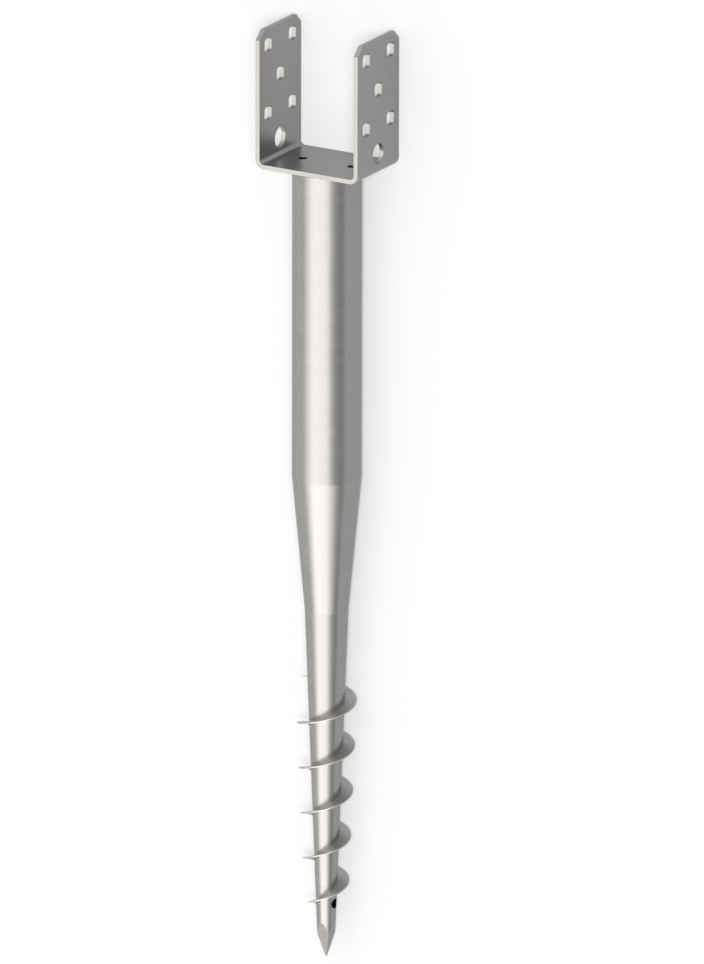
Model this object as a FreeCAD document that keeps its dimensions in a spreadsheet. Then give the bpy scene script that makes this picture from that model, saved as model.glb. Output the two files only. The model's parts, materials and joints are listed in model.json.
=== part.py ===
import FreeCAD, Part
import math
import os
import Sketcher

# A galvanised ground screw with a fork head for a square timber post.
# Each piece is drawn upright: Z runs up the shank's axis, Z = 0 is the underside of the fork's base
# plate, X runs across the fork through both arms, and -Y is the fork's open front.
# At the end all pieces are laid down together, as the screw comes to rest on its back.

os.makedirs("parts", exist_ok=True)

SIZES = [
    ("fork_inner_width", 93.0, "clear width between the arms, for a 90 mm post"),
    ("fork_depth", 70.0, "width of the strip that the fork is folded from"),
    ("fork_inner_height", 117.8, "top face of the base plate to the top of the arms"),
    ("plate_thickness", 4.0, "thickness of the folded strip"),
    ("bend_radius", 4.0, "inner radius of the two folds"),
    ("corner_cut", 8.0, "leg of the 45 degree cut on the top corners of the arms"),
    ("square_hole_width", 12.0, "side of a square post fixing hole"),
    ("square_hole_corner", 3.0, "corner radius of a post fixing hole"),
    ("hole_column_offset", 20.3, "outer columns of fixing holes, from the middle of the arm"),
    ("hole_first_row", 41.7, "lowest fixing holes, above the base plate"),
    ("hole_top_margin", 15.1, "highest fixing holes, below the top of the arms"),
    ("round_hole_diameter", 18.0, "large round hole of each arm"),
    ("round_hole_height", 15.4, "large round hole, above the base plate"),
    ("base_hole_diameter", 8.0, "holes through the base plate into the tube"),
    ("base_hole_spacing", 48.9, "centre to centre of the two base plate holes"),
    ("tube_diameter", 60.3, "outside of the plain shaft"),
    ("tube_wall", 2.5, "wall of the tube"),
    ("shaft_length", 276.2, "plain shaft, from the base plate to the first taper"),
    ("upper_taper_length", 119.8, "steep first taper"),
    ("neck_diameter", 37.85, "outside where the first taper meets the long one"),
    ("lower_taper_length", 294.0, "long second taper, to the corners of the point"),
    ("point_diameter", 15.6, "outside across the corners where the point starts"),
    ("point_length", 20.8, "corners of the point to its end"),
    ("point_flat", 1.0, "width of the blunt end of the point"),
    ("solid_length", 38.0, "end of the tube that is forged solid"),
    ("drain_hole_diameter", 9.0, "zinc drain hole"),
    ("drain_hole_height", 49.0, "drain hole, above the end of the point"),
    ("flight_height", 10.2, "how far the flight stands out from the tube"),
    ("flight_root_thickness", 2.0, "flight where it meets the tube"),
    ("flight_rim_thickness", 1.2, "flight at its rim, stretched thin by the winding"),
    ("flight_pitch", 40.8, "rise of the flight in one turn"),
    ("flight_turns", 5.0, "number of turns"),
    ("flight_start_height", 44.75, "lower end of the flight, above the end of the point"),
    ("flight_snip_inset", 0.6, "how far inside the tube's surface the lower end's snip line runs"),
    ("weld_leg", 2.0, "leg of the fillet weld under the base plate"),
]

# Places and sizes that follow from the sheet, as expressions.
INNER_HALF = "Sizes.fork_inner_width / 2"
OUTER_HALF = "(Sizes.fork_inner_width / 2 + Sizes.plate_thickness)"
ARM_TOP = "(Sizes.plate_thickness + Sizes.fork_inner_height)"
HALF_DEPTH = "Sizes.fork_depth / 2"
TUBE_RADIUS = "Sizes.tube_diameter / 2"
NECK_RADIUS = "Sizes.neck_diameter / 2"
POINT_RADIUS = "Sizes.point_diameter / 2"
NECK_DEPTH = "(Sizes.shaft_length + Sizes.upper_taper_length)"
POINT_DEPTH = f"({NECK_DEPTH} + Sizes.lower_taper_length)"
TIP_DEPTH = f"({POINT_DEPTH} + Sizes.point_length)"
TAPER_SLOPE = f"(({NECK_RADIUS} - {POINT_RADIUS}) / Sizes.lower_taper_length)"


def taper_radius(depth):
    """Outer radius of the long taper at a depth below the base plate."""
    return f"({NECK_RADIUS} - {TAPER_SLOPE} * ({depth} - {NECK_DEPTH}))"


doc = FreeCAD.newDocument("GroundScrew")
sizes = doc.addObject("Spreadsheet::Sheet", "Sizes")
for row, (alias, number, note) in enumerate(SIZES, start=1):
    sizes.set(f"A{row}", alias)
    sizes.set(f"B{row}", str(number))
    sizes.setAlias(f"B{row}", alias)
    sizes.set(f"C{row}", note)
doc.recompute()


def value_of(expression):
    """The number that an expression gives with the sheet's sizes."""
    return float(sizes.evalExpression(expression))


def new_body(name):
    body = doc.addObject("PartDesign::Body", name)
    body.Label = name
    return body


def new_sketch(body, name, plane_role):
    """An empty sketch on one of the body's own origin planes."""
    sketch = body.newObject("Sketcher::SketchObject", name)
    plane = next(feature for feature in body.Origin.OriginFeatures if feature.Role == plane_role)
    sketch.AttachmentSupport = [(plane, "")]
    sketch.MapMode = "FlatFace"
    return sketch


def bind(sketch, kind, expression, *where):
    """Adds a dimension to a sketch and ties it to the sheet."""
    index = sketch.addConstraint(Sketcher.Constraint(kind, *where, value_of(expression)))
    sketch.setExpression(f"Constraints[{index}]", expression)


def pin_point(sketch, geometry, end, x, y):
    """Fixes one end of a line at x, y, both given as expressions."""
    for kind, axis, expression in (("DistanceX", -2, x), ("DistanceY", -1, y)):
        if expression == "0":
            sketch.addConstraint(Sketcher.Constraint("PointOnObject", geometry, end, axis))
        else:
            bind(sketch, kind, expression, -1, 1, geometry, end)


def draw_outline(sketch, corners):
    """Draws a closed outline through corners (x, y) or, where one is rounded, (x, y, radius).

    All values are expressions. A rounded corner joins a level line and an upright one.
    """
    spots = [FreeCAD.Vector(value_of(corner[0]), value_of(corner[1]), 0) for corner in corners]
    stops = []
    for index, corner in enumerate(corners):
        if len(corner) == 2:
            stops.append([(corner[0], corner[1])])
            continue
        x, y, radius = corner
        before = spots[index - 1] - spots[index]
        after = spots[(index + 1) % len(spots)] - spots[index]
        ends = []
        for way in (before, after):
            step = FreeCAD.Vector(way).normalize()
            ends.append((f"{x} + {round(step.x)} * {radius}", f"{y} + {round(step.y)} * {radius}"))
        stops.append(ends + [radius])
    lines = []
    for index, stop in enumerate(stops):
        start = stop[1] if len(stop) == 3 else stop[0]
        finish = stops[(index + 1) % len(stops)][0]
        ends = [FreeCAD.Vector(value_of(x), value_of(y), 0) for x, y in (start, finish)]
        line = sketch.addGeometry(Part.LineSegment(*ends))
        lines.append(line)
        pin_point(sketch, line, 2, *finish)
        if len(stop) == 3:
            pin_point(sketch, line, 1, *start)
    for index, stop in enumerate(stops):
        arriving, leaving = lines[index - 1], lines[index]
        if len(stop) == 1:
            sketch.addConstraint(Sketcher.Constraint("Coincident", arriving, 2, leaving, 1))
            continue
        round_corner(sketch, arriving, leaving, stop[2])


def round_corner(sketch, arriving, leaving, radius):
    """Joins two square lines, which stop short of their corner, by a tangent arc."""
    first = sketch.Geometry[arriving]
    second = sketch.Geometry[leaving]
    turn = (first.EndPoint - first.StartPoint).cross(second.EndPoint - second.StartPoint).z
    along = FreeCAD.Vector(first.EndPoint - first.StartPoint).normalize()
    inward = FreeCAD.Vector(-along.y, along.x, 0) * math.copysign(1, turn)
    centre = first.EndPoint + inward * value_of(radius)
    circle = Part.Circle(centre, FreeCAD.Vector(0, 0, 1), value_of(radius))
    angles = [math.atan2(*reversed((point - centre)[:2])) for point in (first.EndPoint, second.StartPoint)]
    if turn < 0:
        angles.reverse()
    arc = sketch.addGeometry(Part.ArcOfCircle(circle, *angles))
    arc_ends = (1, 2) if turn > 0 else (2, 1)
    sketch.addConstraint(Sketcher.Constraint("Coincident", arriving, 2, arc, arc_ends[0]))
    sketch.addConstraint(Sketcher.Constraint("Coincident", arc, arc_ends[1], leaving, 1))
    bind(sketch, "Radius", radius, arc)


def draw_circle(sketch, x, y, diameter):
    centre = FreeCAD.Vector(value_of(x), value_of(y), 0)
    circle = Part.Circle(centre, FreeCAD.Vector(0, 0, 1), value_of(diameter) / 2)
    geometry = sketch.addGeometry(circle)
    pin_point(sketch, geometry, 3, x, y)
    bind(sketch, "Diameter", diameter, geometry)


def cut_through(body, name, sketch):
    """Cuts a sketch through the whole body, both ways from its plane."""
    pocket = body.newObject("PartDesign::Pocket", name)
    pocket.Profile = sketch
    pocket.Type = "ThroughAll"
    pocket.Midplane = True
    return pocket


def turn_round_axis(body, kind, name, sketch):
    """Revolves a half profile, drawn beside the shank's axis, through a full turn."""
    feature = body.newObject(kind, name)
    feature.Profile = sketch
    feature.ReferenceAxis = (sketch, ["V_Axis"])
    feature.Angle = 360
    return feature


# Fork bracket: a strip folded into a U, with its holes punched and its top corners cut off.

def make_fork_bracket():
    body = new_body("fork_bracket")
    profile = new_sketch(body, "fork_profile", "XZ_Plane")
    outer_bend = "(Sizes.bend_radius + Sizes.plate_thickness)"
    draw_outline(profile, [
        (f"-{OUTER_HALF}", "0", outer_bend),
        (OUTER_HALF, "0", outer_bend),
        (OUTER_HALF, ARM_TOP),
        (INNER_HALF, ARM_TOP),
        (INNER_HALF, "Sizes.plate_thickness", "Sizes.bend_radius"),
        (f"-{INNER_HALF}", "Sizes.plate_thickness", "Sizes.bend_radius"),
        (f"-{INNER_HALF}", ARM_TOP),
        (f"-{OUTER_HALF}", ARM_TOP),
    ])
    folded = body.newObject("PartDesign::Pad", "folded_strip")
    folded.Profile = profile
    folded.Midplane = True
    folded.setExpression("Length", "Sizes.fork_depth")

    corners = new_sketch(body, "corner_cuts", "YZ_Plane")
    for side in (1, -1):
        edge = f"{side} * {HALF_DEPTH}"
        draw_outline(corners, [
            (edge, ARM_TOP),
            (f"{side} * ({HALF_DEPTH} - Sizes.corner_cut)", ARM_TOP),
            (edge, f"{ARM_TOP} - Sizes.corner_cut"),
        ])
    cut_through(body, "cut_corners", corners)

    holes = new_sketch(body, "arm_holes", "YZ_Plane")
    row_pitch = "(Sizes.fork_inner_height - Sizes.hole_first_row - Sizes.hole_top_margin) / 2"
    places = [(-1, 0), (1, 0), (0, 1), (-1, 2), (1, 2)]
    for side, row in places:
        middle = f"{side} * Sizes.hole_column_offset"
        level = f"Sizes.plate_thickness + Sizes.hole_first_row + {row} * {row_pitch}"
        draw_outline(holes, [
            (f"{middle} + {x} * Sizes.square_hole_width / 2",
             f"{level} + {y} * Sizes.square_hole_width / 2",
             "Sizes.square_hole_corner")
            for x, y in ((-1, -1), (1, -1), (1, 1), (-1, 1))
        ])
    draw_circle(holes, "0", "Sizes.plate_thickness + Sizes.round_hole_height", "Sizes.round_hole_diameter")
    cut_through(body, "punch_arms", holes)

    base_holes = new_sketch(body, "base_holes", "XY_Plane")
    for side in (1, -1):
        draw_circle(base_holes, f"{side} * Sizes.base_hole_spacing / 2", "0", "Sizes.base_hole_diameter")
    cut_through(body, "punch_base", base_holes)
    return body


# Tapered tube: swaged in two tapers and forged shut to a four-sided point.

def make_tapered_tube():
    body = new_body("tapered_tube")
    profile = new_sketch(body, "tube_profile", "XZ_Plane")
    bore_depth = f"({TIP_DEPTH} - Sizes.solid_length)"
    draw_outline(profile, [
        (TUBE_RADIUS, "0"),
        (TUBE_RADIUS, "-Sizes.shaft_length"),
        (NECK_RADIUS, f"-{NECK_DEPTH}"),
        (taper_radius(TIP_DEPTH), f"-{TIP_DEPTH}"),
        ("0", f"-{TIP_DEPTH}"),
        ("0", f"-{bore_depth}"),
        (f"{taper_radius(bore_depth)} - Sizes.tube_wall", f"-{bore_depth}"),
        (f"{NECK_RADIUS} - Sizes.tube_wall", f"-{NECK_DEPTH}"),
        (f"{TUBE_RADIUS} - Sizes.tube_wall", "-Sizes.shaft_length"),
        (f"{TUBE_RADIUS} - Sizes.tube_wall", "0"),
    ])
    turn_round_axis(body, "PartDesign::Revolution", "swaged_tube", profile)

    # Each face of the point runs from the blunt end through the corners where the point starts, and
    # on past the tube's surface. The corners lie at 45 degrees, so a face is nearer the axis.
    end_half = "Sizes.point_flat / 2"
    face_reach = f"(2 * {POINT_RADIUS} * sqrt(0.5) - {end_half})"
    face_top = f"({TIP_DEPTH} - 2 * Sizes.point_length)"
    for plane_role, name in (("XZ_Plane", "x"), ("YZ_Plane", "y")):
        faces = new_sketch(body, f"point_sides_{name}", plane_role)
        for side in (1, -1):
            draw_outline(faces, [
                (f"{side} * {end_half}", f"-{TIP_DEPTH}"),
                (f"{side} * {face_reach}", f"-{face_top}"),
                (f"{side} * {face_reach}", f"-{TIP_DEPTH}"),
            ])
        cut_through(body, f"forge_point_{name}", faces)

    drain = new_sketch(body, "drain_outline", "YZ_Plane")
    draw_circle(drain, "0", f"Sizes.drain_hole_height - {TIP_DEPTH}", "Sizes.drain_hole_diameter")
    drain_hole = body.newObject("PartDesign::Pocket", "drain_hole")
    drain_hole.Profile = drain
    drain_hole.Type = "ThroughAll"
    drain_hole.Reversed = True
    return body


# Screw flight: a strip wound on edge round the long taper, thinner at its rim than at its root.
# Both ends are on the -X side. The upper one is square, the lower one is snipped along the tube.

def make_screw_flight():
    body = new_body("screw_flight")
    start_depth = f"({TIP_DEPTH} - Sizes.flight_start_height)"
    root_half = "Sizes.flight_root_thickness / 2"
    rim_half = "Sizes.flight_rim_thickness / 2"
    sunk = "Sizes.tube_wall / 2"
    root = taper_radius(start_depth)
    rim = f"{root} + Sizes.flight_height"
    section = new_sketch(body, "flight_section", "XZ_Plane")
    draw_outline(section, [
        (f"-({root} - {sunk})", f"-{start_depth} - {root_half}"),
        (f"-({rim})", f"-{start_depth} - {rim_half}"),
        (f"-({rim})", f"-{start_depth} + {rim_half}"),
        (f"-({root} - {sunk})", f"-{start_depth} + {root_half}"),
    ])
    doc.recompute()
    winding = body.newObject("PartDesign::AdditiveHelix", "wound_strip")
    winding.Profile = section
    winding.ReferenceAxis = (section, ["V_Axis"])
    winding.Mode = "pitch-turns-angle"
    winding.setExpression("Pitch", "Sizes.flight_pitch")
    winding.setExpression("Turns", "Sizes.flight_turns")
    winding.setExpression("Angle", f"atan({TAPER_SLOPE})")

    # The root is trimmed to the tube's own surface, so that the strip seats on it.
    seat = new_sketch(body, "tube_seat", "XZ_Plane")
    draw_outline(seat, [
        ("0", f"-{NECK_DEPTH}"),
        (NECK_RADIUS, f"-{NECK_DEPTH}"),
        (taper_radius(TIP_DEPTH), f"-{TIP_DEPTH}"),
        ("0", f"-{TIP_DEPTH}"),
    ])
    turn_round_axis(body, "PartDesign::Groove", "seat_on_tube", seat)

    # The snip takes the corner off the first quarter turn and stays clear of the next turn.
    snip = new_sketch(body, "snip_line", "XZ_Plane")
    snip_x = f"-({root} - Sizes.flight_snip_inset)"
    snip_reach = f"-({rim} + Sizes.flight_height)"
    snip_top = f"-({start_depth} - Sizes.flight_pitch / 2)"
    snip_foot = f"-({start_depth} + Sizes.flight_pitch / 2)"
    draw_outline(snip, [
        (snip_x, snip_foot),
        (snip_x, snip_top),
        (snip_reach, snip_top),
        (snip_reach, snip_foot),
    ])
    cut_through(body, "snip_lower_end", snip)
    return body


# Head weld: one fillet weld round the top of the tube, against the underside of the base plate.

def make_head_weld():
    body = new_body("head_weld")
    bead = new_sketch(body, "weld_section", "XZ_Plane")
    draw_outline(bead, [
        (TUBE_RADIUS, "0"),
        (TUBE_RADIUS, "-Sizes.weld_leg"),
        (f"{TUBE_RADIUS} + Sizes.weld_leg", "0"),
    ])
    turn_round_axis(body, "PartDesign::Revolution", "weld_bead", bead)
    return body


def resting_place():
    """The placement that lays the upright screw on its back, as it comes to rest.

    It lies on the back edge of the fork's base plate and on whatever below it touches first, which is
    the end of the plain shaft or the rim of the flight. The origin is under the middle of its box.
    """
    half_depth = value_of(HALF_DEPTH)
    supports = [(value_of(depth), value_of(radius)) for depth, radius in (
        ("Sizes.shaft_length", TUBE_RADIUS),
        (NECK_DEPTH, NECK_RADIUS),
        (POINT_DEPTH, POINT_RADIUS),
    )]
    # The flight starts at -X. Its rim reaches down where it passes the back of the tube, at +Y,
    # three quarters of a turn on.
    start_depth = value_of(f"{TIP_DEPTH} - Sizes.flight_start_height")
    pitch = value_of("Sizes.flight_pitch")
    turns = value_of("Sizes.flight_turns")
    passing = 0.75
    while passing <= turns:
        depth = start_depth - passing * pitch
        radius = value_of(taper_radius(str(depth)) + " + Sizes.flight_height")
        supports.append((depth, radius))
        passing += 1
    slope = min((half_depth - radius) / depth for depth, radius in supports)
    tilt = math.atan(slope)
    arm_top = value_of(ARM_TOP)
    top_y = (half_depth - value_of("Sizes.corner_cut")) * math.sin(tilt) + arm_top * math.cos(tilt)
    low_y = -value_of(TIP_DEPTH) * math.cos(tilt) - value_of("Sizes.point_flat / 2") * math.sin(tilt)
    place = FreeCAD.Vector(0, -(top_y + low_y) / 2, half_depth * math.cos(tilt))
    lying = FreeCAD.Rotation(FreeCAD.Vector(1, 0, 0), math.degrees(tilt) - 90)
    print(f"resting tilt {math.degrees(tilt):.4f} degrees")
    return FreeCAD.Placement(place, lying)


bodies = [make_fork_bracket(), make_tapered_tube(), make_screw_flight(), make_head_weld()]
rest = resting_place()
for body in bodies:
    body.Placement = rest
doc.recompute()

for item in doc.Objects:
    if "Invalid" in item.State or "Error" in item.State:
        raise RuntimeError(f"{item.Label} failed: {item.State}")
for body in bodies:
    if body.Shape.isNull() or not body.Shape.isValid() or len(body.Shape.Solids) != 1:
        raise RuntimeError(f"{body.Label} is not one sound solid")
for body in bodies:
    body.Shape.exportStep(f"parts/{body.Label}.step")
    print(body.Label, f"volume {body.Shape.Volume:.1f} mm3")
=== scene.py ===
import json
import math

import bmesh
import bpy
from mathutils import Matrix, Vector, noise


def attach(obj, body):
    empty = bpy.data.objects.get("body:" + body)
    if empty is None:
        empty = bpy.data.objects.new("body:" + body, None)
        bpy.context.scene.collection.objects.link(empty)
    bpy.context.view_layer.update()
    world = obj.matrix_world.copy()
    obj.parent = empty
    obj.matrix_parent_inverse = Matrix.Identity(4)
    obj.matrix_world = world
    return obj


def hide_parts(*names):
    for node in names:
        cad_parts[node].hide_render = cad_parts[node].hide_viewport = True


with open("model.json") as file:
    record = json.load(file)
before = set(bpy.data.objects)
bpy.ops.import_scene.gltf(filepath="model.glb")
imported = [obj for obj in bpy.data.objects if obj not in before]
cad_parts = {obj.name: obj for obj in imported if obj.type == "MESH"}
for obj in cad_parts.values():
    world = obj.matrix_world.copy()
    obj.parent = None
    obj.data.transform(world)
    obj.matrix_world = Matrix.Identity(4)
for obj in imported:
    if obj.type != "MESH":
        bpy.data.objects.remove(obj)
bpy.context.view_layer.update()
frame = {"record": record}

# A galvanised ground screw, lying on its back on a pale studio floor.
# Lengths are in metres. Each piece is drawn in the screw's own upright frame and then laid down:
# Z runs up the shank's axis, Z = 0 is the underside of the base plate, X runs across the fork, and
# -Y is the fork's open front.

MM = 0.001
mounts = {mount["name"]: mount for mount in frame["record"]["mounts"]}

# The folded fork
PLATE = 4 * MM
BEND = 4 * MM
FORK_INNER_HALF = 46.5 * MM
FORK_HALF_DEPTH = 35 * MM
ARM_TOP = 121.8 * MM
CORNER_CUT = 8 * MM
SQUARE_HOLE = 12 * MM
SQUARE_HOLE_CORNER = 3 * MM
SQUARE_HOLE_COLUMN = 20.3 * MM
SQUARE_HOLE_ROWS = [45.7 * MM, 76.2 * MM, 106.7 * MM]
BAR_HOLE_RADIUS = mounts["right_bar_hole"]["dims"]["r_mm"] * MM
BAR_HOLE_HEIGHT = 19.4 * MM
BASE_HOLE_RADIUS = mounts["base_plate_holes"]["dims"]["hole_r_mm"] * MM
BASE_HOLE_SPACING = mounts["base_plate_holes"]["dims"]["pcd_mm"] * MM
PLATE_EDGE = 0.2 * MM
FLAT_MARGIN = 0.4 * MM

# The tapered tube, by depth below the base plate
TUBE_RADIUS = 30.15 * MM
TUBE_WALL = 2.5 * MM
SHAFT_END = 276.2 * MM
NECK_DEPTH = 396 * MM
NECK_RADIUS = 18.925 * MM
POINT_DEPTH = 690 * MM
POINT_RADIUS = 7.8 * MM
TIP_DEPTH = 710.8 * MM
TIP_HALF = 0.5 * MM
BORE_END = 672.8 * MM
SWAGE_SOFTNESS = 0.6 * MM
DRAIN_RADIUS = 4.5 * MM
DRAIN_DEPTH = 661.8 * MM
TAPER_SLOPE = (NECK_RADIUS - POINT_RADIUS) / (POINT_DEPTH - NECK_DEPTH)

# The flight, wound right-handed up from its lower end at -X
FLIGHT_START = 666.05 * MM
FLIGHT_PITCH = 40.8 * MM
FLIGHT_TURNS = 5
FLIGHT_HEIGHT = 10.2 * MM
FLIGHT_ROOT_HALF = 1.0 * MM
FLIGHT_RIM_HALF = 0.6 * MM
FLIGHT_EDGE = 0.25 * MM
FLIGHT_SUNK = 0.5 * MM
SNIP_INSET = 0.6 * MM

# The weld beads
HEAD_WELD_LEG = 2 * MM
HEAD_WELD_SUNK = 0.3 * MM
HEAD_WELD_SEED = 0.5
FLIGHT_WELD_LEG = 1.6 * MM
FLIGHT_WELD_SEED = 7.5
RIPPLE = 2.4 * MM

# How finely round shapes are divided
TUBE_STEPS = 192
FLIGHT_STEPS_PER_TURN = 144
HOLE_STEPS = 64
BASE_HOLE_STEPS = 40
CORNER_STEPS = 8
BEND_STEPS = 12

# Faces that meet at more than these angles keep a sharp edge between them
FORK_SHARP = math.radians(14)
TUBE_SHARP = math.radians(9)
FLIGHT_SHARP = math.radians(50)

# Points closer together than this are one point
SAME_POINT = 0.001 * MM


def screw_frame():
    """The matrix that lays the upright screw down where the frame has it."""
    seat = mounts["post_seat"]
    up = Vector(seat["axis"])
    across = Vector((1, 0, 0))
    back = up.cross(across)
    origin = Vector(seat["pos_m"]) - PLATE * up
    turn = Matrix((across, back, up)).transposed()
    return Matrix.Translation(origin) @ turn.to_4x4()


LAID_DOWN = screw_frame()


def finish_piece(mesh_data, name, node, material):
    """Lays a mesh down, gives it its material and sets it on the part in a CAD node's place."""
    mesh_data.transform(LAID_DOWN)
    mesh_data.materials.append(material)
    piece = bpy.data.objects.new(name, mesh_data)
    bpy.context.scene.collection.objects.link(piece)
    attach(piece, "root")
    if node:
        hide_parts(node)
    return piece


def clean_up(bm):
    """Merges points that coincide, and takes out the faces and edges that vanish with them."""
    bmesh.ops.remove_doubles(bm, verts=bm.verts, dist=SAME_POINT)
    bmesh.ops.dissolve_degenerate(bm, edges=bm.edges, dist=SAME_POINT)


def to_mesh(bm, name):
    """Closes a bmesh into mesh data with outward normals and smooth faces."""
    bmesh.ops.recalc_face_normals(bm, faces=bm.faces)
    if bm.calc_volume(signed=True) < 0:
        bmesh.ops.reverse_faces(bm, faces=bm.faces)
    mesh_data = bpy.data.meshes.new(name)
    bm.to_mesh(mesh_data)
    bm.free()
    mesh_data.shade_smooth()
    return mesh_data


def even_shading(piece):
    """Keeps flat faces flat beside their rounded edges."""
    weighted = piece.modifiers.new("even_shading", "WEIGHTED_NORMAL")
    weighted.weight = 100
    weighted.keep_sharp = True


# Outlines on the flat strip, before it is folded

BEND_ARC = (BEND + PLATE / 2) * math.pi / 2
BEND_START = FORK_INNER_HALF - BEND
ARM_START = BEND_START + BEND_ARC
ARM_FOOT = PLATE + BEND


def along_strip(height):
    """How far from the strip's middle a height on a folded arm lies."""
    return ARM_START + height - ARM_FOOT


def circle(x, y, radius, steps=HOLE_STEPS):
    angles = [2 * math.pi * step / steps for step in range(steps)]
    return [(x + radius * math.cos(angle), y + radius * math.sin(angle)) for angle in angles]


def rounded_square(x, y, side, corner):
    """A square with round corners, as the punch leaves it."""
    inner = side / 2 - corner
    points = []
    for quarter in range(4):
        middle = math.pi / 4 + quarter * math.pi / 2
        centre_x = x + inner * math.copysign(1, math.cos(middle))
        centre_y = y + inner * math.copysign(1, math.sin(middle))
        for step in range(CORNER_STEPS + 1):
            angle = (quarter + step / CORNER_STEPS) * math.pi / 2
            points.append((centre_x + corner * math.cos(angle), centre_y + corner * math.sin(angle)))
    return points


def strip_outline():
    """The strip's edge, with its four corners cut off."""
    end = along_strip(ARM_TOP)
    side = FORK_HALF_DEPTH
    quarter = [(end, side - CORNER_CUT), (end - CORNER_CUT, side)]
    half = quarter + [(-x, y) for x, y in reversed(quarter)]
    return half + [(-x, -y) for x, y in half]


def strip_holes():
    """The outlines of all the holes in the strip: bar holes, base holes and square holes."""
    holes = []
    low, middle, high = (along_strip(height) for height in SQUARE_HOLE_ROWS)
    for side in (1, -1):
        holes.append(circle(side * along_strip(BAR_HOLE_HEIGHT), 0, BAR_HOLE_RADIUS))
        holes.append(circle(side * BASE_HOLE_SPACING / 2, 0, BASE_HOLE_RADIUS, BASE_HOLE_STEPS))
        holes.append(rounded_square(side * middle, 0, SQUARE_HOLE, SQUARE_HOLE_CORNER))
        for row in (low, high):
            for column in (SQUARE_HOLE_COLUMN, -SQUARE_HOLE_COLUMN):
                holes.append(rounded_square(side * row, column, SQUARE_HOLE, SQUARE_HOLE_CORNER))
    return holes


def flat_strip():
    """A bmesh of the punched strip with its edges rounded, lying flat."""
    curve = bpy.data.curves.new("strip", "CURVE")
    curve.dimensions = "2D"
    curve.fill_mode = "BOTH"
    curve.extrude = PLATE / 2 - PLATE_EDGE
    curve.bevel_depth = PLATE_EDGE
    curve.bevel_resolution = 2
    curve.offset = -PLATE_EDGE
    for outline in [strip_outline()] + strip_holes():
        spline = curve.splines.new("POLY")
        spline.points.add(len(outline) - 1)
        for point, (x, y) in zip(spline.points, outline):
            point.co = (x, y, 0, 1)
        spline.use_cyclic_u = True
    drawn = bpy.data.objects.new("strip", curve)
    flat = bpy.data.meshes.new_from_object(drawn)
    bm = bmesh.new()
    bm.from_mesh(flat)
    bpy.data.objects.remove(drawn)
    bpy.data.curves.remove(curve)
    bpy.data.meshes.remove(flat)
    clean_up(bm)
    return bm


def folded(point):
    """Where a point of the flat strip goes when both its arms are folded up."""
    reach = abs(point.x)
    side = math.copysign(1, point.x)
    to_surface = BEND + PLATE / 2 - point.z
    if reach <= BEND_START:
        return Vector((point.x, point.y, PLATE / 2 + point.z))
    if reach >= ARM_START:
        return Vector((side * (BEND_START + to_surface), point.y, ARM_FOOT + reach - ARM_START))
    turn = (reach - BEND_START) / BEND_ARC * math.pi / 2
    across = side * (BEND_START + to_surface * math.sin(turn))
    return Vector((across, point.y, ARM_FOOT - to_surface * math.cos(turn)))


def make_fork(material):
    """The punched strip, cut across at its bends and folded up into a U."""
    bm = flat_strip()
    places = [BEND_START + BEND_ARC * step / BEND_STEPS for step in range(BEND_STEPS + 1)]
    places += [BEND_START - FLAT_MARGIN, ARM_START + FLAT_MARGIN]
    for place in places:
        for side in (1, -1):
            everything = bm.verts[:] + bm.edges[:] + bm.faces[:]
            bmesh.ops.bisect_plane(
                bm, geom=everything, dist=SAME_POINT, plane_co=(side * place, 0, 0), plane_no=(1, 0, 0))
    clean_up(bm)
    for vert in bm.verts:
        vert.co = folded(vert.co)
    mesh_data = to_mesh(bm, "folded_fork")
    mesh_data.set_sharp_from_angle(angle=FORK_SHARP)
    fork = finish_piece(mesh_data, "folded_fork", "fork_bracket", material)
    even_shading(fork)


# Round pieces are skinned from rings of points, each point given as angle, radius and depth

def ring_point(angle, radius, depth):
    return Vector((radius * math.cos(angle), radius * math.sin(angle), -depth))


def skin(bm, rings, closed_run=False):
    """Joins closed rings of points into a skin, and caps its ends unless the run of rings is closed."""
    loops = [[bm.verts.new(point) for point in ring] for ring in rings]
    count = len(loops[0])
    pairs = list(zip(loops, loops[1:]))
    if closed_run:
        pairs.append((loops[-1], loops[0]))
    for first, second in pairs:
        for index in range(count):
            after = (index + 1) % count
            bm.faces.new((first[index], first[after], second[after], second[index]))
    if not closed_run:
        bm.faces.new(loops[0])
        bm.faces.new(loops[-1])


def taper_radius(depth):
    """The tube's outer radius at a depth on its long taper."""
    return NECK_RADIUS - TAPER_SLOPE * (depth - NECK_DEPTH)


def outside_radius(depth):
    """The outer radius down the shaft, the short taper and the long taper."""
    if depth <= SHAFT_END:
        return TUBE_RADIUS
    if depth <= NECK_DEPTH:
        share = (depth - SHAFT_END) / (NECK_DEPTH - SHAFT_END)
        return TUBE_RADIUS + share * (NECK_RADIUS - TUBE_RADIUS)
    return taper_radius(depth)


def swaged_radius(depth):
    """The outer radius, with the two swaged corners eased over a short length."""
    samples = 8
    offsets = [SWAGE_SOFTNESS * (2 * step / samples - 1) for step in range(samples + 1)]
    return sum(outside_radius(depth + offset) for offset in offsets) / len(offsets)


def tube_depths():
    """Ring depths down the tube's outside, closer together at its corners and round its drain hole."""
    corner_step = SWAGE_SOFTNESS / 4
    short_taper_steps = 8
    long_taper_step = 10 * MM
    drain_step = 1.5 * MM
    depths = {0, SHAFT_END / 2}
    for corner in (SHAFT_END, NECK_DEPTH):
        depths.update(corner + corner_step * step for step in range(-6, 7))
    for step in range(1, short_taper_steps):
        depths.add(SHAFT_END + (NECK_DEPTH - SHAFT_END) * step / short_taper_steps)
    depths.update(NECK_DEPTH + long_taper_step * step for step in range(1, 25))
    depths.update(DRAIN_DEPTH + drain_step * step for step in range(-8, 9))
    return sorted(depths)


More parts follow.
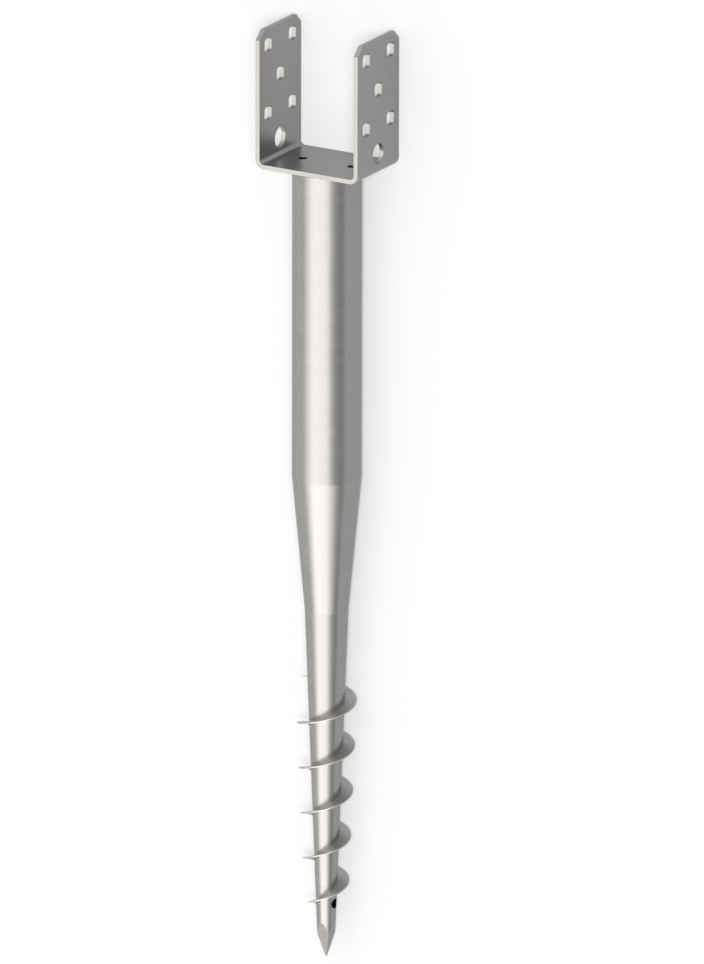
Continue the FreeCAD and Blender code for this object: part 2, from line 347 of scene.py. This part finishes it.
def side_offset(angle):
    """Angle from the middle of the nearest of the point's four faces."""
    return (angle + math.pi / 4) % (math.pi / 2) - math.pi / 4


FACE_SLOPE = (POINT_RADIUS * math.sqrt(0.5) - TIP_HALF) / (TIP_DEPTH - POINT_DEPTH)


def face_top(angle):
    """Height above the tip where a face of the point runs out through the round taper."""
    lean = math.cos(side_offset(angle))
    return (taper_radius(TIP_DEPTH) * lean - TIP_HALF) / (FACE_SLOPE - TAPER_SLOPE * lean)


def face_radius(angle, height):
    """The radius at which a face of the point lies, at a height above the tip."""
    return (TIP_HALF + FACE_SLOPE * height) / math.cos(side_offset(angle))


def make_tube(material):
    """The tube: rings up its bore, then down its outside to the four-sided point."""
    face_steps = 4
    angles = [2 * math.pi * step / TUBE_STEPS for step in range(TUBE_STEPS)]
    bore = [
        (taper_radius(BORE_END) - TUBE_WALL, BORE_END),
        (NECK_RADIUS - TUBE_WALL, NECK_DEPTH),
        (TUBE_RADIUS - TUBE_WALL, SHAFT_END),
        (TUBE_RADIUS - TUBE_WALL, 0),
    ]
    outside = [(swaged_radius(depth), depth) for depth in tube_depths()]
    rings = [[ring_point(angle, radius, depth) for angle in angles] for radius, depth in bore + outside]
    for step in range(face_steps, -1, -1):
        ring = []
        for angle in angles:
            height = step / face_steps * face_top(angle)
            ring.append(ring_point(angle, face_radius(angle, height), TIP_DEPTH - height))
        rings.append(ring)
    bm = bmesh.new()
    skin(bm, rings)
    mesh_data = to_mesh(bm, "tapered_shank")
    tube = finish_piece(mesh_data, "tapered_shank", "tapered_tube", material)
    cut_drain_hole(tube)
    tube.data.set_sharp_from_angle(angle=TUBE_SHARP)


def cut_drain_hole(tube):
    """Drills the zinc drain hole through the +X wall."""
    bm = bmesh.new()
    reach = 2 * POINT_RADIUS
    along_x = Matrix.Rotation(math.pi / 2, 4, "Y")
    middle = Matrix.Translation((reach / 2, 0, -DRAIN_DEPTH))
    bmesh.ops.create_cone(
        bm, cap_ends=True, segments=HOLE_STEPS, radius1=DRAIN_RADIUS, radius2=DRAIN_RADIUS,
        depth=reach, matrix=LAID_DOWN @ middle @ along_x)
    drill_mesh = bpy.data.meshes.new("drill")
    bm.to_mesh(drill_mesh)
    bm.free()
    drill = bpy.data.objects.new("drill", drill_mesh)
    bpy.context.scene.collection.objects.link(drill)
    cut = tube.modifiers.new("drain_hole", "BOOLEAN")
    cut.operation = "DIFFERENCE"
    cut.solver = "EXACT"
    cut.object = drill
    bpy.context.view_layer.update()
    drilled = bpy.data.meshes.new_from_object(tube.evaluated_get(bpy.context.evaluated_depsgraph_get()))
    tube.modifiers.clear()
    tube.data = drilled
    bpy.data.objects.remove(drill)
    bm = bmesh.new()
    bm.from_mesh(drilled)
    clean_up(bm)
    bm.to_mesh(drilled)
    bm.free()


# The flight

def flight_depth(turned):
    """Depth of the flight's middle below the base plate, after an angle turned from its lower end."""
    return FLIGHT_START - FLIGHT_PITCH * turned / (2 * math.pi)


SNIP_LINE = taper_radius(FLIGHT_START) - SNIP_INSET


def flight_reach(turned):
    """Outer radius of the flight, which is snipped off along the tube at its lower end."""
    rim = taper_radius(flight_depth(turned)) + FLIGHT_HEIGHT
    if turned >= math.pi / 2:
        return rim
    return min(rim, SNIP_LINE / math.cos(turned))


def flight_turns():
    """Angles turned from the lower end at -X, from where the snip leaves the tube to the upper end."""
    least_width = 0.4 * MM
    start = math.acos(SNIP_LINE / (taper_radius(FLIGHT_START) + least_width))
    snip_corner = math.acos(SNIP_LINE / (taper_radius(FLIGHT_START) + FLIGHT_HEIGHT))
    end = FLIGHT_TURNS * 2 * math.pi
    steps = round((end - start) / (2 * math.pi) * FLIGHT_STEPS_PER_TURN)
    turns = [start + (end - start) * step / steps for step in range(steps + 1)]
    return sorted(turns + [snip_corner])


def flight_section(turned):
    """The strip's section: radius and height of each corner, with the rim's two edges rounded."""
    root = taper_radius(flight_depth(turned)) - FLIGHT_SUNK
    reach = flight_reach(turned)
    full = FLIGHT_HEIGHT + FLIGHT_SUNK
    thinning = (FLIGHT_RIM_HALF - FLIGHT_ROOT_HALF) / full
    half_at_reach = FLIGHT_ROOT_HALF + thinning * (reach - root)
    edge_steps = 3
    upper = [(root, FLIGHT_ROOT_HALF)]
    for step in range(edge_steps + 1):
        angle = math.pi / 2 * (1 - step / edge_steps)
        out = reach - FLIGHT_EDGE + FLIGHT_EDGE * math.cos(angle)
        upper.append((out, half_at_reach - FLIGHT_EDGE + FLIGHT_EDGE * math.sin(angle)))
    return upper + [(radius, -height) for radius, height in reversed(upper)]


def make_flight(material):
    """The strip, wound on edge round the long taper."""
    rings = []
    for turned in flight_turns():
        angle = math.pi + turned
        depth = flight_depth(turned)
        rings.append([ring_point(angle, radius, depth - height) for radius, height in flight_section(turned)])
    bm = bmesh.new()
    skin(bm, rings)
    mesh_data = to_mesh(bm, "wound_flight")
    mesh_data.set_sharp_from_angle(angle=FLIGHT_SHARP)
    flight = finish_piece(mesh_data, "wound_flight", "screw_flight", material)
    even_shading(flight)


# Weld beads

def bead_section(leg, travelled, seed):
    """Points across a fillet bead, as distances along the plate and down the wall.

    The bead is a row of overlapping pools, so its face swells and its edges wander a little.
    """
    steps = 7
    most_wander = 0.06
    pool_lag = 0.35
    least_swell = 0.06
    pool_swell = 0.07
    wander = noise.noise(Vector((travelled / (4 * RIPPLE), seed, 0)))
    size = leg * (1 - most_wander + most_wander * wander)
    section = []
    for step in range(steps + 1):
        share = step / steps
        bow = 4 * share * (1 - share)
        pool = abs(math.sin(math.pi * (travelled / RIPPLE - pool_lag * bow)))
        swell = bow * size * (least_swell + pool_swell * pool)
        section.append((size * (1 - share) + swell, size * share + swell))
    return section


def make_head_bead(material):
    """The fillet under the base plate, round the top of the tube."""
    steps_per_ripple = 8
    ripples = round(2 * math.pi * TUBE_RADIUS / RIPPLE)
    steps = ripples * steps_per_ripple
    sunk_radius = TUBE_RADIUS - HEAD_WELD_SUNK
    rings = []
    for step in range(steps):
        angle = 2 * math.pi * step / steps
        travelled = ripples * RIPPLE * step / steps
        section = bead_section(HEAD_WELD_LEG, travelled, HEAD_WELD_SEED)
        ring = [ring_point(angle, TUBE_RADIUS + out, down) for out, down in section]
        ring.append(ring_point(angle, sunk_radius, HEAD_WELD_LEG / 2))
        ring.append(ring_point(angle, sunk_radius, 0))
        rings.append(ring)
    bm = bmesh.new()
    skin(bm, rings, closed_run=True)
    finish_piece(to_mesh(bm, "head_bead"), "head_bead", "head_weld", material)


def make_flight_bead(material):
    """The thin fillet under the flight, along its root."""
    margin_at_snip = math.radians(40)
    margin_at_top = math.radians(6)
    overlap = 0.1 * MM
    fade_angle = 0.15
    least_fade = 0.3
    step = RIPPLE / 6
    first = flight_turns()[0] + margin_at_snip
    last = FLIGHT_TURNS * 2 * math.pi - margin_at_top
    turned = first
    travelled = 0
    rings = []
    while turned < last:
        depth = flight_depth(turned)
        wall = taper_radius(depth)
        angle = math.pi + turned
        underside = depth + FLIGHT_ROOT_HALF - overlap
        from_end = min(turned - first, last - turned)
        leg = FLIGHT_WELD_LEG * min(1, from_end / fade_angle + least_fade)
        section = bead_section(leg, travelled, FLIGHT_WELD_SEED)
        ring = [ring_point(angle, wall + out, underside + down) for out, down in section]
        ring.append(ring_point(angle, wall - FLIGHT_SUNK, underside + leg / 2))
        ring.append(ring_point(angle, wall - FLIGHT_SUNK, underside - FLIGHT_ROOT_HALF / 2))
        rings.append(ring)
        travelled += step
        turned += step / wall
    bm = bmesh.new()
    skin(bm, rings)
    finish_piece(to_mesh(bm, "flight_bead"), "flight_bead", None, material)


# Materials

# Tone and roughness vary with the crystals, the fine grain and the runs, by these amounts
CRYSTAL_SIZE = 9 * MM
CRYSTAL_SOFTNESS = 0.35
CRYSTAL_TONE = 0.035
CRYSTAL_ROUGHNESS = 0.025
GRAIN_SIZE = 0.8 * MM
GRAIN_TONE = 0.03
GRAIN_ROUGHNESS = 0.03
GRAIN_DEPTH = 0.0025 * MM
RUN_WIDTH = 14 * MM
RUN_STRETCH = 0.18
RUN_TONE = 0.04
RUN_ROUGHNESS = 0.03
RIM_TINT = (0.85, 0.85, 0.85, 1)


def add_node(tree, kind, **settings):
    """Adds a node; a setting that names an input socket sets its value, any other an attribute."""
    node = tree.nodes.new(kind)
    for name, value in settings.items():
        label = name.replace("_", " ").title()
        if label in node.inputs:
            node.inputs[label].default_value = value
        else:
            setattr(node, name, value)
    return node


def compute(tree, operation, *values):
    """A Math node's result. Each value is a number or a socket."""
    step = add_node(tree, "ShaderNodeMath", operation=operation)
    for socket, value in zip(step.inputs, values):
        if isinstance(value, (int, float)):
            socket.default_value = value
        else:
            tree.links.new(value, socket)
    return step.outputs[0]


def ramp(tree, value, low, high, at_low, at_high):
    """Goes from at_low to at_high as the value goes from low to high, and stays level outside."""
    past_low = compute(tree, "SUBTRACT", value, low)
    span = compute(tree, "SUBTRACT", high, low)
    between = compute(tree, "DIVIDE", past_low, span)
    share = compute(tree, "MINIMUM", compute(tree, "MAXIMUM", between, 0), 1)
    return compute(tree, "MULTIPLY_ADD", share, at_high - at_low, at_low)


def weighted_sum(tree, base, terms):
    """A value socket of base plus each (socket, amount), with every socket centred on 0.5."""
    total = base - sum(amount for socket, amount in terms) / 2
    for socket, amount in terms:
        total = compute(tree, "MULTIPLY_ADD", socket, amount, total)
    return total


def galvanised(name, colour, roughness, crystal_size=CRYSTAL_SIZE, relief=1.0):
    """Hot-dip zinc: soft crystals, a fine matt grain and faint runs along the shank."""
    material = bpy.data.materials.new(name)
    material.use_nodes = True
    tree = material.node_tree
    shader = tree.nodes["Principled BSDF"]
    shader.inputs["Metallic"].default_value = 1
    shader.inputs["Specular Tint"].default_value = RIM_TINT
    place = add_node(tree, "ShaderNodeTexCoord").outputs["Object"]

    crystals = add_node(
        tree, "ShaderNodeTexVoronoi", feature="SMOOTH_F1", scale=1 / crystal_size,
        smoothness=CRYSTAL_SOFTNESS)
    tree.links.new(place, crystals.inputs["Vector"])
    crystal = add_node(tree, "ShaderNodeSeparateColor")
    tree.links.new(crystals.outputs["Color"], crystal.inputs[0])

    fine = add_node(tree, "ShaderNodeTexNoise", scale=1 / GRAIN_SIZE, detail=2.0, roughness=0.6)
    tree.links.new(place, fine.inputs["Vector"])

    stretch = add_node(tree, "ShaderNodeMapping", scale=(1, RUN_STRETCH, 1))
    tree.links.new(place, stretch.inputs["Vector"])
    runs = add_node(tree, "ShaderNodeTexNoise", scale=1 / RUN_WIDTH, detail=3.0, roughness=0.55)
    tree.links.new(stretch.outputs[0], runs.inputs["Vector"])

    crystal_value = crystal.outputs[0]
    fine_value = fine.outputs[0]
    runs_value = runs.outputs[0]
    tone = weighted_sum(
        tree, 1, [(crystal_value, CRYSTAL_TONE), (fine_value, GRAIN_TONE), (runs_value, RUN_TONE)])
    tint = add_node(tree, "ShaderNodeVectorMath", operation="SCALE")
    tint.inputs[0].default_value = colour
    tree.links.new(tone, tint.inputs["Scale"])
    tree.links.new(tint.outputs[0], shader.inputs["Base Color"])

    dullness = weighted_sum(
        tree, roughness,
        [(crystal_value, CRYSTAL_ROUGHNESS), (fine_value, GRAIN_ROUGHNESS), (runs_value, RUN_ROUGHNESS)])
    tree.links.new(dullness, shader.inputs["Roughness"])

    bump = add_node(tree, "ShaderNodeBump", strength=1.0, distance=GRAIN_DEPTH * relief)
    tree.links.new(fine_value, bump.inputs["Height"])
    tree.links.new(bump.outputs["Normal"], shader.inputs["Normal"])
    return material


# Studio

WARM_WHITE = (1, 0.988, 0.97)

FLOOR_HALF_SIZE = 60
FLOOR_COLOUR = (0.148, 0.1485, 0.148, 1)
FLOOR_GLOW_COLOUR = (1, 1, 1, 1)
FLOOR_GLOW = 0.42

LAMP_STRENGTH = 6.5
LAMP_WIDTH = math.radians(14)
LAMP_DIRECTION = Vector((0.48, 0.2, 0.85))

# The room's brightness at its -X and +X ends
ROOM_LEFT = 1.25
ROOM_RIGHT = 0.58

# The overhead light, by angle about the shank and by direction along it, with the tip at -1
LIGHT_LEFT_EDGE = (math.radians(-52), math.radians(-20))
LIGHT_RIGHT_START = math.radians(30)
LIGHT_RIGHT_END = math.radians(48)
LIGHT_RIGHT_END_BY_TIP = math.radians(77)
LIGHT_WIDENS = (-0.3, -0.48)
LIGHT_STRENGTH = 2.19
LIGHT_STRENGTH_BY_TIP = 3.6
LIGHT_STRENGTHENS = (-0.37, -0.53)
LIGHT_FADES = (-0.54, -0.68)
LIGHT_PAST_END = 0.12


def make_floor():
    """A wide pale floor that glows faintly, so that the shadows on it stay light."""
    bm = bmesh.new()
    bmesh.ops.create_grid(bm, x_segments=1, y_segments=1, size=FLOOR_HALF_SIZE)
    mesh_data = bpy.data.meshes.new("floor")
    bm.to_mesh(mesh_data)
    bm.free()
    material = bpy.data.materials.new("pale_floor")
    material.use_nodes = True
    shader = material.node_tree.nodes["Principled BSDF"]
    shader.inputs["Base Color"].default_value = FLOOR_COLOUR
    shader.inputs["Roughness"].default_value = 0.9
    shader.inputs["Specular IOR Level"].default_value = 0.1
    shader.inputs["Emission Color"].default_value = FLOOR_GLOW_COLOUR
    shader.inputs["Emission Strength"].default_value = FLOOR_GLOW
    mesh_data.materials.append(material)
    floor = bpy.data.objects.new("floor", mesh_data)
    bpy.context.scene.collection.objects.link(floor)


def make_lamp():
    """A soft distant lamp on the camera's side, which lights the floor and doesn't show in the metal."""
    light = bpy.data.lights.new("lamp", "SUN")
    light.energy = LAMP_STRENGTH
    light.angle = LAMP_WIDTH
    light.color = WARM_WHITE
    lamp = bpy.data.objects.new("lamp", light)
    lamp.rotation_euler = LAMP_DIRECTION.to_track_quat("Z", "Y").to_euler()
    lamp.location = 4 * LAMP_DIRECTION
    lamp.visible_glossy = False
    bpy.context.scene.collection.objects.link(lamp)


def make_surroundings():
    """A grey room, lighter on the -X side, with one broad soft light along the screw overhead.

    The light runs along the shank and draws the bright band down its front. Angles are taken about
    the shank from overhead towards +X. Towards the tip the light is stronger and its +X edge is
    softer, so the two tapers show a brighter and wider band than the shaft.
    """
    world = bpy.data.worlds.new("studio")
    bpy.context.scene.world = world
    world.use_nodes = True
    tree = world.node_tree
    direction = add_node(tree, "ShaderNodeTexCoord").outputs["Generated"]
    split = add_node(tree, "ShaderNodeSeparateXYZ")
    tree.links.new(direction, split.inputs[0])
    across, along, up = split.outputs
    room = ramp(tree, across, -1, 1, ROOM_LEFT, ROOM_RIGHT)
    angle = compute(tree, "ARCTAN2", across, up)
    left_edge = ramp(tree, angle, *LIGHT_LEFT_EDGE, 0, 1)
    right_end = ramp(tree, along, *LIGHT_WIDENS, LIGHT_RIGHT_END, LIGHT_RIGHT_END_BY_TIP)
    right_edge = ramp(tree, angle, LIGHT_RIGHT_START, right_end, 1, 0)
    strength = ramp(tree, along, *LIGHT_STRENGTHENS, LIGHT_STRENGTH, LIGHT_STRENGTH_BY_TIP)
    far_end = ramp(tree, along, *LIGHT_FADES, 1, LIGHT_PAST_END)
    light = compute(tree, "MULTIPLY", compute(tree, "MULTIPLY", left_edge, right_edge), strength)
    light = compute(tree, "MULTIPLY", light, far_end)
    total = compute(tree, "ADD", room, light)
    tree.links.new(total, tree.nodes["Background"].inputs["Strength"])
    tree.nodes["Background"].inputs["Color"].default_value = (*WARM_WHITE, 1)


# Camera, from the photograph: angles in the screw's own frame, and the pixel of its origin

VIEW_TURN = math.radians(30.4)
VIEW_RISE = math.radians(17.57)
VIEW_ROLL = 0.00155
PHOTO_WIDTH = 704
PHOTO_HEIGHT = 964
PIXELS_PER_METRE = 1166.3
BASE_PIXEL_X = 327.3
BASE_PIXEL_Y = 167.9
LENS = 1000

# Where the photograph's scale holds, measured from that origin towards the camera
MIDDLE_DEPTH = -0.089


def make_camera():
    """Looks at the screw from above its open front, from its upper right, through a long lens."""
    turn = LAID_DOWN.to_3x3()
    right = turn @ Vector((math.cos(VIEW_TURN), math.sin(VIEW_TURN), 0))
    level = Vector((math.sin(VIEW_TURN), -math.cos(VIEW_TURN), 0))
    back = turn @ (level * math.cos(VIEW_RISE) + Vector((0, 0, math.sin(VIEW_RISE))))
    up = back.cross(right)
    roll = Matrix.Rotation(VIEW_ROLL, 3, back)
    right = roll @ right
    up = roll @ up
    aim = LAID_DOWN.translation.copy()
    aim += right * (PHOTO_WIDTH / 2 - BASE_PIXEL_X) / PIXELS_PER_METRE
    aim -= up * (PHOTO_HEIGHT / 2 - BASE_PIXEL_Y) / PIXELS_PER_METRE
    aim += back * MIDDLE_DEPTH
    lens_data = bpy.data.cameras.new("camera")
    lens_data.lens = LENS
    half_height = PHOTO_HEIGHT / 2 / PIXELS_PER_METRE
    distance = half_height * LENS / (lens_data.sensor_width / 2)
    camera = bpy.data.objects.new("camera", lens_data)
    turned = Matrix((right, up, back)).transposed()
    camera.matrix_world = Matrix.Translation(aim + back * distance) @ turned.to_4x4()
    bpy.context.scene.collection.objects.link(camera)
    bpy.context.scene.camera = camera


make_fork(galvanised("zinc_plate", colour=(0.283, 0.278, 0.274), roughness=0.30))
make_tube(galvanised("zinc_tube", colour=(0.284, 0.279, 0.274), roughness=0.27))
# The flight is the same zinc, but its colour is lighter than the plate's and tube's: painted light, standing
# in for the light its faces lose by reflecting the shaded floor.
make_flight(galvanised("zinc_flight_painted_light", colour=(0.42, 0.414, 0.407), roughness=0.44))
# The weld's colour is a little darker than the plate's: painted shade for the crevices along the beads. The
# finer crystals and deeper relief are the weld's own.
weld_zinc = galvanised(
    "zinc_weld_painted_shade", colour=(0.265, 0.260, 0.256), roughness=0.38, crystal_size=3 * MM, relief=2.0)
make_head_bead(weld_zinc)
make_flight_bead(weld_zinc)

make_floor()
make_lamp()
make_surroundings()
make_camera()
bpy.context.scene.view_settings.view_transform = "Standard"
